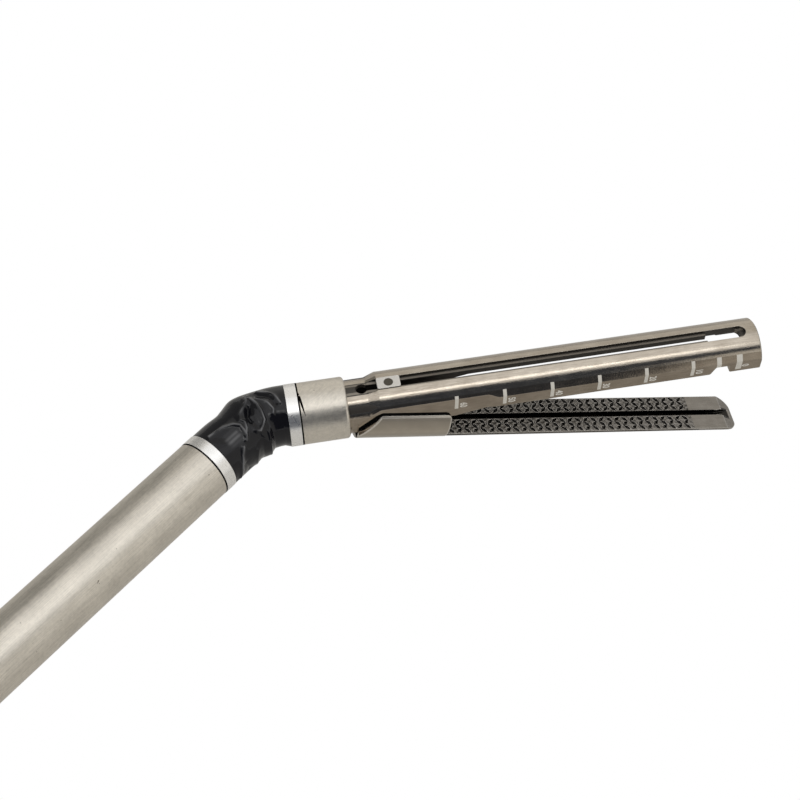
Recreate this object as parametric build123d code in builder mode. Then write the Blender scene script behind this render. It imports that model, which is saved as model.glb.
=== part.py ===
from build123d import *
import math
import os

# Working end of a linear surgical stapler: shaft, articulated wrist and two jaws.
# Lengths are in millimetres, angles in degrees.
# +X runs along the shaft towards the jaws, +Z is up, and the origin lies on the
# shaft's axis at the shoulder of its rear coupling.

# Clearances
FIT = 0.02              # radial, between pieces that are fastened together
RUN = 0.05              # radial, between a pin and the hole that it turns in
SLIDE = 0.12            # each side of a sliding piece
JOINT_GAP = 0.15        # between plates that swing past each other

# Pose that the parts are stored in
ARTICULATION = 40.0     # the jaws point this far to the right of the shaft
JAW_OPENING = 12.4      # the anvil hangs open by this angle
ARTICULATION_LIMIT = 45.0

# Shaft and its rear coupling
SHAFT_RADIUS = 6.4
TUBE_WALL = 0.5
WRIST_AT = 104.0        # from the coupling's shoulder to the articulation axis
SPIGOT_RADIUS = 4.9
SPIGOT_LENGTH = 14.0
SHOULDER_LENGTH = 1.5
PLUG_LENGTH = 10.0      # of the coupling inside the tube
SPIGOT_CHAMFER = 0.6
BAYONET_WIDTH = 2.2
BAYONET_DEPTH = 0.7
BAYONET_AT = 5.0        # from the shoulder to the middle of the cross groove
COUPLING_PIN_RADIUS = 0.8
COUPLING_PIN_AT = 6.5

# Firing drive
ROD_WIDTH = 2.0
ROD_HEIGHT = 4.4
ROD_CLEAR = 13.0        # from the articulation axis back to the rod's front, fired
ROD_LENGTH = 40.0
ROD_EYE_RADIUS = 0.8
ROD_EYE_AT = 3.0        # from the rod's rear end
STRIP_LEAVES = 3
STRIP_LEAF = 0.28
STRIP_PITCH = 0.33
STRIP_HEIGHT = 4.0
STRIP_BEND = 6.0        # radius of the strip's middle line in the wrist
STRIP_GAP = 0.15        # between the strip and the pieces that it drives
STRIP_ROOM = 0.3        # extra width of the slots that the strip bends in

# Wrist
BAND_WIDTH = 2.36
BAND_PROUD = 0.05
FILM_BACK = 13.1        # from the articulation axis back to the shaft's band
FILM_FRONT = 6.16       # from the articulation axis on to the head's band
FILM_WALL = 0.35
FILM_BEND = 14.0
SEAM = 0.3              # dark line between a band and its neighbour
YOKE_LENGTH = 21.0      # of the plug behind the tangs
YOKE_FRONT = 6.6        # from the articulation axis back to the plug's front face
TANG_RADIUS = 2.4
TANG_HEIGHT = 1.15
HEAD_PLATE_LOW = 2.2
HEAD_PLATE_HEIGHT = 1.2
HEAD_PLATE_RADIUS = 3.8
HEAD_PLATE_HALF = 3.0
HEAD_REAR = 5.6         # from the articulation axis on to the plug's rear face
HEAD_CLEAR = 0.19       # between the plug's front face and the channel's tail
PIVOT_RADIUS = 1.0
LINK_ARM = 2.9          # from the articulation axis to a link's pin
LINK_PIN_RADIUS = 0.45
LINK_PLAY = 0.25        # lengthwise room in a link's eye
LINK_SIDE_PLAY = 0.1
LINK_WIDTH = 1.6
LINK_HEIGHT = 1.0
LINK_SIDE = 3.2         # from the shaft's axis to a link's middle
LINK_REAR = -6.0
LINK_WALL = 0.6

# Collar
COLLAR_LENGTH = 9.97
COLLAR_ROUND = 0.7
COLLAR_PIN_RADIUS = 0.6
COLLAR_PIN_SIDE = 2.0
COLLAR_PIN_AT = 3.4     # behind the collar's front face
COLLAR_PIN_LOW = 5.95
COLLAR_PIN_LENGTH = 1.5

# Channel: stations are measured forward from the collar's front face
CHANNEL_LENGTH = 87.0
TAIL_LENGTH = 6.9
NECK_RADIUS = 5.55
NECK_LENGTH = 4.2
CONE_LENGTH = 2.3
FLAT_FROM = 0.6
FLAT_NEAR = 5.04        # half width across the flats behind the step
FLAT_FAR = 5.54         # half width across the flats beyond it
FLAT_STEP_AT = 28.3
FLAT_STEP_LENGTH = 2.9
HEEL_FROM = 0.3         # start of the opening under the neck
HEEL_HEIGHT = -4.6
HEEL_TO = 3.8
EDGE_NEAR = -1.57       # lower edge of the walls behind the slope
EDGE_FAR = 0.14
EDGE_SLOPE_AT = 22.0
EDGE_SLOPE_LENGTH = 9.0
NOTCH_BACK = 10.8       # from the tip back to the notch's ramp
NOTCH_FRONT = 6.8       # from the tip back to the notch's steep side
NOTCH_HEIGHT = 2.1
NOTCH_RAMP = 1.0
EDGE_ROUND = 0.5
CAVITY_HALF = 4.4
CAVITY_ROOF = 4.35
CAVITY_ROUND = 1.2
GROOVE_WIDTH = 2.9
GROOVE_DEPTH = 0.85
GROOVE_STOP = 2.5       # from the tip back to the groove's end
SLOT_WIDTH = 1.3
SLOT_STOP = 10.8        # from the tip back to the window's start
WINDOW_STOP = 3.5       # from the tip back to the window's end
KEYHOLE_AT = 3.2
KEYHOLE_RADIUS = 1.2
TIP_CHAMFER = 0.25

# Firing beam
STROKE = 62.0
FOOT_AT = 8.8
FOOT_LENGTH = 4.8
FOOT_HEIGHT = 0.9
FOOT_ROUND = 0.4
FOOT_PIN_RADIUS = 0.95
BEAM_LENGTH = 4.2
BEAM_WAIST = 1.5        # depth of the seat that holds the blade
BLADE_HALF = 2.3
BLADE_REACH = 0.4       # of the edge beyond the beam's front
BLADE_GRIND = 0.9
SHOE_HALF = 1.6
SHOE_HEIGHT = 0.65
CROSS_PIN_RADIUS = 0.5
CROSS_PIN_HALF = 2.0
CROSS_PIN_HEIGHT = 0.9

# Anvil, with heights as they are when the jaws are closed
HINGE_AT = -0.7         # behind the collar's front face, inside the collar
HINGE_HEIGHT = 0.0
HINGE_RADIUS = 0.8
ARM_NEAR = 2.2          # from the middle to the inner side of a hinge arm
ARM_WIDTH = 0.8
ARM_END_RADIUS = 1.4
ARM_FOOT_FROM = 2.8
ARM_FOOT_TO = 6.0
ARM_SLOT_FROM = -1.6    # room that the neck leaves for the arms
ANVIL_RADIUS = 6.35
ANVIL_HALF = 4.45
ANVIL_FACE = -3.9
ANVIL_TIP = 90.9
NOSE_RAMP = 3.4
NOSE_DROP = 1.5
NOSE_ROUND = 3.7
EAR_FROM = 2.0
EAR_SLANT_HEIGHT = -1.4
EAR_TOP_FROM = 5.95
EAR_TO = 21.0
EAR_TOP = 3.65
EAR_GAP = 0.08          # between an ear and the channel's flat
EAR_ROUND = 1.0
SILL_FROM = 3.8         # inner sill that joins the ears to the floor
SILL_GAP = 0.5          # below the channel's lower edge
TRACK_LEDGE = 1.0       # thickness above the shoe's track
TRACK_PLAY = 0.12
TRACK_FROM = 12.0
TRACK_STOP = 6.9        # from the tip back to the track's end
FLARE_LENGTH = 4.6      # from the tip back to where the knife slot widens
FLARE_WIDTH = 2.6
ENTRY_FROM = 6.3
ENTRY_TO = 18.0
ENTRY_HALF = 2.1
POCKETS_FROM = 22.9
POCKETS_TO = 78.7
POCKET_PITCH = 1.835
POCKET_LENGTH = 2.0
POCKET_WIDTH = 0.9
POCKET_TURN = 42.0
POCKET_DEPTH = 0.35
POCKET_ROWS = 3         # on each side of the knife slot
ROW_FIRST = 1.42
ROW_PITCH = 1.12

# Springs that hold the anvil open
SPRING_THICKNESS = 0.25
SPRING_WIDTH = 0.8
SPRING_SIDE = 3.55
SPRING_REAR = -5.0
SPRING_BEND_AT = 0.6
SPRING_HEIGHT = -1.6
SPRING_TIP_AT = 6.4
SPRING_REST = 0.12      # height of the tip above the open anvil's face

# Sizes that follow from those above
TUBE_BORE = SHAFT_RADIUS - TUBE_WALL
ROD_REAR = WRIST_AT - ROD_CLEAR - STROKE - ROD_LENGTH
PLUG_RADIUS = TUBE_BORE - FIT
WRIST_FRAME_RADIUS = min(PLUG_RADIUS, SHAFT_RADIUS - FILM_WALL - JOINT_GAP)
BAND_BACK = WRIST_AT - FILM_BACK - BAND_WIDTH
TUBE_END = BAND_BACK - SEAM
YOKE_REAR = WRIST_AT - YOKE_FRONT - YOKE_LENGTH
HEAD_PLATE_TOP = HEAD_PLATE_LOW + HEAD_PLATE_HEIGHT
TANG_LOW = HEAD_PLATE_TOP + JOINT_GAP
TANG_TOP = TANG_LOW + TANG_HEIGHT
COLLAR_FRONT = FILM_FRONT + BAND_WIDTH + COLLAR_LENGTH
HEAD_LENGTH = COLLAR_FRONT - TAIL_LENGTH - HEAD_CLEAR - HEAD_REAR
CONE_END = NECK_LENGTH + CONE_LENGTH
NOTCH_FROM = CHANNEL_LENGTH - NOTCH_BACK
NOTCH_TO = CHANNEL_LENGTH - NOTCH_FRONT
GROOVE_END = CHANNEL_LENGTH - GROOVE_STOP
SLOT_END = CHANNEL_LENGTH - SLOT_STOP
WINDOW_END = CHANNEL_LENGTH - WINDOW_STOP
TAIL_BORE = CAVITY_HALF
GROOVE_FLOOR = SHAFT_RADIUS - GROOVE_DEPTH
BEAM_THICKNESS = SLOT_WIDTH - 2 * SLIDE
BEAM_REAR = FOOT_AT - BEAM_LENGTH / 2
BEAM_FRONT = FOOT_AT + BEAM_LENGTH / 2
FOOT_LOW = GROOVE_FLOOR + RUN
FOOT_WIDTH = GROOVE_WIDTH - 2 * RUN
TRACK_TO = ANVIL_TIP - TRACK_STOP
ANVIL_SLOT_END = ANVIL_TIP - FLARE_LENGTH
TRACK_ROOF = ANVIL_FACE - TRACK_LEDGE
SHOE_TOP = TRACK_ROOF - TRACK_PLAY
SHOE_LOW = SHOE_TOP - SHOE_HEIGHT
TRACK_FLOOR = SHOE_LOW - TRACK_PLAY
TRACK_HALF = SHOE_HALF + TRACK_PLAY
EAR_INNER = FLAT_NEAR + EAR_GAP
SILL_TOP = EDGE_NEAR - SILL_GAP
STRIP_FRONT = BEAM_REAR - STRIP_GAP
STRIP_SLOT = STRIP_LEAVES * STRIP_PITCH + 2 * SLIDE + STRIP_ROOM
BEYOND = 2 * SHAFT_RADIUS   # longer than any cut needs to be


# Frames of the three groups of parts
def turned(degrees):
    """Direction of the jaws when they are turned to the right of the shaft."""
    return Vector(math.cos(math.radians(degrees)), -math.sin(math.radians(degrees)), 0)


SHAFT = Plane.XY
WRIST = Plane(origin=(WRIST_AT, 0, 0), x_dir=turned(ARTICULATION), z_dir=(0, 0, 1))
JAW = Plane(
    origin=WRIST.from_local_coords((COLLAR_FRONT, 0, 0)),
    x_dir=WRIST.x_dir,
    z_dir=WRIST.z_dir,
)
HINGE = JAW.from_local_coords((HINGE_AT, 0, HINGE_HEIGHT))
opening = math.radians(JAW_OPENING)
anvil_forward = JAW.x_dir * math.cos(opening) - JAW.z_dir * math.sin(opening)
anvil_up = JAW.z_dir * math.cos(opening) + JAW.x_dir * math.sin(opening)
ANVIL = Plane(
    origin=HINGE - anvil_forward * HINGE_AT - anvil_up * HINGE_HEIGHT,
    x_dir=anvil_forward,
    z_dir=anvil_up,
)


def section(frame, station):
    """Plane across a frame: its sketches are drawn in (left, up)."""
    origin = frame.from_local_coords((station, 0, 0))
    return Plane(origin=origin, x_dir=frame.y_dir, z_dir=frame.x_dir)


def profile(frame, side=0):
    """Upright plane along a frame: its sketches are drawn in (forward, up)."""
    origin = frame.from_local_coords((0, side, 0))
    return Plane(origin=origin, x_dir=frame.x_dir, z_dir=-frame.y_dir)


def level(frame, height):
    """Flat plane along a frame: its sketches are drawn in (forward, left)."""
    return frame.offset(height)


def finish(builder, name):
    """Label a finished piece and write it to its own file."""
    builder.part.label = name
    export_step(builder.part, f"parts/{name}.step")


def drive_passages():
    """Openings for the firing rod and both links, cut from a cross-section."""
    Rectangle(ROD_WIDTH + 2 * SLIDE, ROD_HEIGHT + 2 * SLIDE, mode=Mode.SUBTRACT)
    with Locations((LINK_SIDE, 0), (-LINK_SIDE, 0)):
        Rectangle(LINK_WIDTH + 2 * SLIDE, LINK_HEIGHT + 2 * SLIDE, mode=Mode.SUBTRACT)


os.makedirs("parts", exist_ok=True)

# Coupling spigot
with BuildPart() as spigot:
    with BuildSketch(section(SHAFT, -SPIGOT_LENGTH)):
        Circle(SPIGOT_RADIUS)
        drive_passages()
    extrude(amount=SPIGOT_LENGTH)
    chamfer(spigot.edges().group_by(Axis.X)[0].sort_by(SortBy.LENGTH)[-1], SPIGOT_CHAMFER)
    with BuildSketch(section(SHAFT, 0)):
        Circle(SHAFT_RADIUS)
        drive_passages()
    extrude(amount=SHOULDER_LENGTH)
    with BuildSketch(section(SHAFT, SHOULDER_LENGTH)):
        Circle(PLUG_RADIUS)
        drive_passages()
    extrude(amount=PLUG_LENGTH)
    for height in (SPIGOT_RADIUS, -SPIGOT_RADIUS):
        with BuildSketch(level(SHAFT, height)):
            with Locations((-(SPIGOT_LENGTH + BAYONET_AT) / 2, 0)):
                Rectangle(SPIGOT_LENGTH - BAYONET_AT, BAYONET_WIDTH)
            with Locations((-BAYONET_AT, 0)):
                Circle(BAYONET_WIDTH / 2)
        extrude(amount=BAYONET_DEPTH, both=True, mode=Mode.SUBTRACT)
    with BuildSketch(level(SHAFT, 0)):
        with Locations((COUPLING_PIN_AT, 0)):
            Circle(COUPLING_PIN_RADIUS + FIT)
    extrude(amount=BEYOND, both=True, mode=Mode.SUBTRACT)
finish(spigot, "coupling_spigot")

# Shaft tube
with BuildPart() as tube:
    with BuildSketch(section(SHAFT, SHOULDER_LENGTH)):
        Circle(SHAFT_RADIUS)
        Circle(TUBE_BORE, mode=Mode.SUBTRACT)
    extrude(amount=TUBE_END - SHOULDER_LENGTH)
    with BuildSketch(level(SHAFT, 0)):
        with Locations((COUPLING_PIN_AT, 0)):
            Circle(COUPLING_PIN_RADIUS + FIT)
    extrude(amount=BEYOND, both=True, mode=Mode.SUBTRACT)
finish(tube, "shaft_tube")

# Pins that hold the tube on the coupling, one above and one below the firing rod
with BuildPart() as coupling_pins:
    for height in (ROD_HEIGHT / 2 + SLIDE, -SHAFT_RADIUS):
        with BuildSketch(level(SHAFT, height)):
            with Locations((COUPLING_PIN_AT, 0)):
                Circle(COUPLING_PIN_RADIUS)
        extrude(amount=SHAFT_RADIUS - ROD_HEIGHT / 2 - SLIDE)
finish(coupling_pins, "coupling_pins")

# Shaft spine, which guides the firing rod and the links
with BuildPart() as spine:
    with BuildSketch(section(SHAFT, SHOULDER_LENGTH + PLUG_LENGTH)):
        Circle(PLUG_RADIUS)
        drive_passages()
    extrude(amount=YOKE_REAR - SHOULDER_LENGTH - PLUG_LENGTH)
finish(spine, "shaft_spine")

# Wrist yoke: a plug in the tube with a tang above and below the articulation axis
with BuildPart() as yoke:
    with BuildSketch(section(SHAFT, YOKE_REAR)):
        Circle(WRIST_FRAME_RADIUS)
        drive_passages()
    extrude(amount=YOKE_LENGTH)
    for height in (TANG_LOW, -TANG_TOP):
        with BuildSketch(level(SHAFT, height)):
            with Locations((WRIST_AT - YOKE_FRONT / 2, 0)):
                Rectangle(YOKE_FRONT, 2 * TANG_RADIUS)
            with Locations((WRIST_AT, 0)):
                Circle(TANG_RADIUS)
                Circle(PIVOT_RADIUS + RUN, mode=Mode.SUBTRACT)
        extrude(amount=TANG_HEIGHT)
finish(yoke, "wrist_yoke")

# Bright band at the end of the shaft
with BuildPart() as shaft_band:
    with BuildSketch(section(SHAFT, BAND_BACK)):
        Circle(SHAFT_RADIUS + BAND_PROUD)
        Circle(WRIST_FRAME_RADIUS + FIT, mode=Mode.SUBTRACT)
    extrude(amount=BAND_WIDTH)
finish(shaft_band, "shaft_band")

# Shrunk film over the wrist
with BuildPart() as film:
    with BuildLine() as film_line:
        FilletPolyline(
            (WRIST_AT - FILM_BACK, 0, 0),
            (WRIST_AT, 0, 0),
            WRIST.from_local_coords((FILM_FRONT, 0, 0)),
            radius=FILM_BEND,
        )
    with BuildSketch(section(SHAFT, WRIST_AT - FILM_BACK)):
        Circle(SHAFT_RADIUS)
        Circle(SHAFT_RADIUS - FILM_WALL, mode=Mode.SUBTRACT)
    sweep(path=film_line.line)
finish(film, "wrist_film")

# Firing rod
with BuildPart() as rod:
    with BuildSketch(section(SHAFT, ROD_REAR)):
        Rectangle(ROD_WIDTH, ROD_HEIGHT)
    extrude(amount=ROD_LENGTH)
    with BuildSketch(profile(SHAFT)):
        with Locations((ROD_REAR + ROD_EYE_AT, 0)):
            Circle(ROD_EYE_RADIUS)
    extrude(amount=ROD_WIDTH, both=True, mode=Mode.SUBTRACT)
finish(rod, "firing_rod")

# Laminated firing strip, which bends in the wrist
with BuildPart() as strip:
    with BuildLine() as strip_line:
        FilletPolyline(
            (ROD_REAR + ROD_LENGTH + STRIP_GAP, 0, 0),
            (WRIST_AT, 0, 0),
            JAW.from_local_coords((STRIP_FRONT, 0, 0)),
            radius=STRIP_BEND,
        )
    with BuildSketch(section(SHAFT, ROD_REAR + ROD_LENGTH + STRIP_GAP)):
        with GridLocations(STRIP_PITCH, STRIP_PITCH, STRIP_LEAVES, 1):
            Rectangle(STRIP_LEAF, STRIP_HEIGHT)
    sweep(path=strip_line.line)
finish(strip, "firing_strip")

# Articulation links, each with an eye that is slotted across the shaft
articulated = math.radians(ARTICULATION)
pin_forward = LINK_ARM * math.sin(articulated)
EYE_NEAR = LINK_ARM * math.cos(math.radians(ARTICULATION_LIMIT)) - LINK_PIN_RADIUS - LINK_SIDE_PLAY
EYE_FAR = LINK_ARM + LINK_PIN_RADIUS + LINK_SIDE_PLAY
EYE_HALF = LINK_PIN_RADIUS + LINK_PLAY
for side, side_name in ((1, "left"), (-1, "right")):
    eye_at = WRIST_AT + side * pin_forward
    eye_middle = side * (EYE_NEAR + EYE_FAR) / 2
    with BuildPart() as link:
        with BuildSketch(level(SHAFT, -LINK_HEIGHT / 2)):
            with Locations(((LINK_REAR + eye_at) / 2, side * LINK_SIDE)):
                Rectangle(eye_at - LINK_REAR, LINK_WIDTH)
            with Locations((eye_at, eye_middle)):
                RectangleRounded(
                    2 * (EYE_HALF + LINK_WALL), EYE_FAR - EYE_NEAR + 2 * LINK_WALL, LINK_WALL
                )
                RectangleRounded(
                    2 * EYE_HALF, EYE_FAR - EYE_NEAR, LINK_PIN_RADIUS, mode=Mode.SUBTRACT
                )
        extrude(amount=LINK_HEIGHT)
    finish(link, f"articulation_link_{side_name}")

# Wrist head: a slotted plug with a plate above and below the firing strip
with BuildPart() as head:
    with BuildSketch(section(WRIST, HEAD_REAR)):
        Circle(WRIST_FRAME_RADIUS)
        Rectangle(STRIP_SLOT, STRIP_HEIGHT + 2 * SLIDE, mode=Mode.SUBTRACT)
    extrude(amount=HEAD_LENGTH)
    for height in (HEAD_PLATE_LOW, -HEAD_PLATE_TOP):
        with BuildSketch(level(WRIST, height)):
            with Locations((HEAD_REAR / 2, 0)):
                Rectangle(HEAD_REAR, 2 * HEAD_PLATE_HALF)
            Circle(HEAD_PLATE_RADIUS)
            Circle(PIVOT_RADIUS + FIT, mode=Mode.SUBTRACT)
            with Locations((0, LINK_ARM), (0, -LINK_ARM)):
                Circle(LINK_PIN_RADIUS + FIT, mode=Mode.SUBTRACT)
        extrude(amount=HEAD_PLATE_HEIGHT)
finish(head, "wrist_head")

# Pivot pins of the wrist
with BuildPart() as pivots:
    for height in (HEAD_PLATE_LOW, -TANG_TOP):
        with BuildSketch(level(WRIST, height)):
            Circle(PIVOT_RADIUS)
        extrude(amount=TANG_TOP - HEAD_PLATE_LOW)
finish(pivots, "wrist_pivot_pins")

# Pins that the links pull on
with BuildPart() as link_pins:
    with BuildSketch(level(WRIST, -HEAD_PLATE_TOP)):
        with Locations((0, LINK_ARM), (0, -LINK_ARM)):
            Circle(LINK_PIN_RADIUS)
    extrude(amount=2 * HEAD_PLATE_TOP)
finish(link_pins, "link_pins")

# Bright band at the rear of the head
with BuildPart() as head_band:
    with BuildSketch(section(WRIST, FILM_FRONT)):
        Circle(SHAFT_RADIUS + BAND_PROUD)
        Circle(WRIST_FRAME_RADIUS + FIT, mode=Mode.SUBTRACT)
    extrude(amount=BAND_WIDTH)
finish(head_band, "head_band")

# Collar that joins the head and the channel
with BuildPart() as collar:
    with BuildSketch(section(JAW, SEAM - COLLAR_LENGTH)):
        Circle(SHAFT_RADIUS)
        Circle(NECK_RADIUS + FIT, mode=Mode.SUBTRACT)
    extrude(amount=COLLAR_LENGTH - SEAM)
    front_edges = collar.edges().group_by(Axis(JAW.origin, JAW.x_dir))[-1]
    fillet(front_edges.sort_by(SortBy.LENGTH)[-1], COLLAR_ROUND)
    with BuildSketch(section(JAW, SEAM - COLLAR_LENGTH)):
        Circle(WRIST_FRAME_RADIUS + FIT)
    extrude(amount=COLLAR_LENGTH - SEAM - TAIL_LENGTH, mode=Mode.SUBTRACT)
    with BuildSketch(level(JAW, 0)):
        with Locations((-COLLAR_PIN_AT, COLLAR_PIN_SIDE), (-COLLAR_PIN_AT, -COLLAR_PIN_SIDE)):
            Circle(COLLAR_PIN_RADIUS + FIT)
    extrude(amount=-BEYOND, mode=Mode.SUBTRACT)
finish(collar, "collar")

# Pins that hold the channel's tail in the collar
with BuildPart() as collar_pins:
    with BuildSketch(level(JAW, -COLLAR_PIN_LOW)):
        with Locations((-COLLAR_PIN_AT, COLLAR_PIN_SIDE), (-COLLAR_PIN_AT, -COLLAR_PIN_SIDE)):
            Circle(COLLAR_PIN_RADIUS)
    extrude(amount=COLLAR_PIN_LENGTH)
finish(collar_pins, "collar_pins")

# Channel: the upper jaw, which takes the staple cartridge
with BuildPart() as channel:
    with BuildSketch(profile(JAW)):
        Polygon(
            (-TAIL_LENGTH, 0),
            (-TAIL_LENGTH, NECK_RADIUS),
            (NECK_LENGTH, NECK_RADIUS),
            (CONE_END, SHAFT_RADIUS),
            (CHANNEL_LENGTH - TIP_CHAMFER, SHAFT_RADIUS),
            (CHANNEL_LENGTH, SHAFT_RADIUS - TIP_CHAMFER),
            (CHANNEL_LENGTH, 0),
            align=None,
        )
    revolve(axis=Axis(JAW.origin, JAW.x_dir))
    # Flats on both sides, with a smooth step between the two widths
    with BuildSketch(JAW):
        with BuildLine():
            Polyline(
                (CHANNEL_LENGTH, 0),
                (-TAIL_LENGTH, 0),
                (-TAIL_LENGTH, SHAFT_RADIUS),
                (FLAT_FROM, SHAFT_RADIUS),
                (FLAT_FROM, FLAT_NEAR),
                (FLAT_STEP_AT, FLAT_NEAR),
            )
            Spline(
                (FLAT_STEP_AT, FLAT_NEAR),
                (FLAT_STEP_AT + FLAT_STEP_LENGTH, FLAT_FAR),
                tangents=((1, 0), (1, 0)),
            )
            Polyline(
                (FLAT_STEP_AT + FLAT_STEP_LENGTH, FLAT_FAR),
                (CHANNEL_LENGTH, FLAT_FAR),
                (CHANNEL_LENGTH, 0),
            )
        make_face()
        mirror(about=Plane.XZ)
    extrude(amount=BEYOND, both=True, mode=Mode.INTERSECT)
    # Lower edge of the walls, with a notch near the tip
    with BuildSketch(profile(JAW)):
        with BuildLine():
            FilletPolyline(
                (HEEL_FROM, -BEYOND),
                (HEEL_FROM, HEEL_HEIGHT),
                (HEEL_TO, EDGE_NEAR),
                (EDGE_SLOPE_AT, EDGE_NEAR),
                (EDGE_SLOPE_AT + EDGE_SLOPE_LENGTH, EDGE_FAR),
                (NOTCH_FROM, EDGE_FAR),
                (NOTCH_FROM + NOTCH_RAMP, EDGE_FAR + NOTCH_HEIGHT),
                (NOTCH_TO, EDGE_FAR + NOTCH_HEIGHT),
                (NOTCH_TO, EDGE_FAR),
                (CHANNEL_LENGTH + BEYOND, EDGE_FAR),
                (CHANNEL_LENGTH + BEYOND, -BEYOND),
                radius=EDGE_ROUND,
                close=True,
            )
        make_face()
    extrude(amount=BEYOND, both=True, mode=Mode.SUBTRACT)
    # Room for the anvil's hinge arms and springs under the neck
    with BuildSketch(level(JAW, 0)):
        with Locations(((ARM_SLOT_FROM + HEEL_FROM) / 2, 0)):
            Rectangle(HEEL_FROM - ARM_SLOT_FROM, 2 * (ARM_NEAR + ARM_WIDTH + JOINT_GAP))
        with Locations(((HEEL_FROM + CONE_END) / 2, 0)):
            Rectangle(CONE_END - HEEL_FROM, 2 * CAVITY_HALF)
    extrude(amount=-BEYOND, mode=Mode.SUBTRACT)
    # Cartridge space
    with BuildSketch(section(JAW, -TAIL_LENGTH)):
        Circle(TAIL_BORE)
    extrude(amount=TAIL_LENGTH + CONE_END, mode=Mode.SUBTRACT)
    with BuildSketch(section(JAW, CONE_END)) as cavity:
        with Locations((0, (CAVITY_ROOF - BEYOND) / 2)):
            Rectangle(2 * CAVITY_HALF, CAVITY_ROOF + BEYOND)
        fillet(cavity.vertices().group_by(Axis.Y)[-1], CAVITY_ROUND)
    extrude(amount=CHANNEL_LENGTH - CONE_END, mode=Mode.SUBTRACT)
    # Groove, knife slot, window and keyhole along the back
    groove_end = GROOVE_END - GROOVE_WIDTH / 2
    with BuildSketch(level(JAW, GROOVE_FLOOR)):
        with Locations(((NECK_LENGTH + groove_end) / 2, 0)):
            SlotCenterToCenter(groove_end - NECK_LENGTH, GROOVE_WIDTH)
    extrude(amount=SHAFT_RADIUS, mode=Mode.SUBTRACT)
    window_to = WINDOW_END - GROOVE_WIDTH / 2
    with BuildSketch(level(JAW, 0)):
        with Locations(((KEYHOLE_AT + SLOT_END) / 2, 0)):
            Rectangle(SLOT_END - KEYHOLE_AT, SLOT_WIDTH)
        with Locations((KEYHOLE_AT, 0)):
            Circle(KEYHOLE_RADIUS)
        with Locations(((SLOT_END + window_to) / 2, 0)):
            Rectangle(window_to - SLOT_END, GROOVE_WIDTH)
        with Locations((window_to, 0)):
            Circle(GROOVE_WIDTH / 2)
    extrude(amount=BEYOND, mode=Mode.SUBTRACT)
    # Hinge holes and pin holes
    with BuildSketch(profile(JAW)):
        with Locations((HINGE_AT, HINGE_HEIGHT)):
            Circle(HINGE_RADIUS + RUN)
    extrude(amount=BEYOND, both=True, mode=Mode.SUBTRACT)
    with BuildSketch(level(JAW, 0)):
        with Locations((-COLLAR_PIN_AT, COLLAR_PIN_SIDE), (-COLLAR_PIN_AT, -COLLAR_PIN_SIDE)):
            Circle(COLLAR_PIN_RADIUS + FIT)
    extrude(amount=-BEYOND, mode=Mode.SUBTRACT)
finish(channel, "channel")

# Firing beam: web and lower shoe
with BuildPart() as beam:
    with BuildSketch(profile(JAW)):
        Polygon(
            (BEAM_REAR, SHOE_LOW),
            (BEAM_FRONT, SHOE_LOW),
            (BEAM_FRONT, -BLADE_HALF),
            (BEAM_FRONT - BEAM_WAIST, -BLADE_HALF),
            (BEAM_FRONT - BEAM_WAIST, BLADE_HALF),
            (BEAM_FRONT, BLADE_HALF),
            (BEAM_FRONT, FOOT_LOW),
            (BEAM_REAR, FOOT_LOW),
            align=None,
        )
    extrude(amount=BEAM_THICKNESS / 2, both=True)
    with BuildSketch(level(JAW, SHOE_LOW)):
        with Locations((FOOT_AT, 0)):
            RectangleRounded(BEAM_LENGTH, 2 * SHOE_HALF, FOOT_ROUND)
    extrude(amount=SHOE_HEIGHT)
    with BuildSketch(profile(JAW)):
        with Locations(((BEAM_REAR + BEAM_FRONT - BEAM_WAIST) / 2, CROSS_PIN_HEIGHT)):
            Circle(CROSS_PIN_RADIUS + FIT)
    extrude(amount=BEAM_THICKNESS, both=True, mode=Mode.SUBTRACT)
finish(beam, "firing_beam")

# Knife blade in the beam's seat
with BuildPart() as blade:
    blade_rear = BEAM_FRONT - BEAM_WAIST + FIT
    blade_edge = BEAM_FRONT + BLADE_REACH
    with BuildSketch(level(JAW, -BLADE_HALF + FIT)):
        Polygon(
            (blade_rear, -BEAM_THICKNESS / 2),
            (blade_edge - BLADE_GRIND, -BEAM_THICKNESS / 2),
            (blade_edge, 0),
            (blade_edge - BLADE_GRIND, BEAM_THICKNESS / 2),
            (blade_rear, BEAM_THICKNESS / 2),
            align=None,
        )
    extrude(amount=2 * (BLADE_HALF - FIT))
finish(blade, "knife_blade")

# Cross pin of the beam
with BuildPart() as cross_pin:
    with BuildSketch(profile(JAW)):
        with Locations(((BEAM_REAR + BEAM_FRONT - BEAM_WAIST) / 2, CROSS_PIN_HEIGHT)):
            Circle(CROSS_PIN_RADIUS)
    extrude(amount=CROSS_PIN_HALF, both=True)
finish(cross_pin, "knife_cross_pin")

# Guide foot that runs in the channel's groove, and its rivet
with BuildPart() as foot:
    with BuildSketch(level(JAW, FOOT_LOW)):
        with Locations((FOOT_AT, 0)):
            RectangleRounded(FOOT_LENGTH, FOOT_WIDTH, FOOT_ROUND)
            Circle(FOOT_PIN_RADIUS + FIT, mode=Mode.SUBTRACT)
    extrude(amount=FOOT_HEIGHT)
finish(foot, "guide_foot")

with BuildPart() as foot_rivet:
    with BuildSketch(level(JAW, FOOT_LOW)):
        with Locations((FOOT_AT, 0)):
            Circle(FOOT_PIN_RADIUS)
    extrude(amount=FOOT_HEIGHT)
finish(foot_rivet, "foot_rivet")

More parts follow.
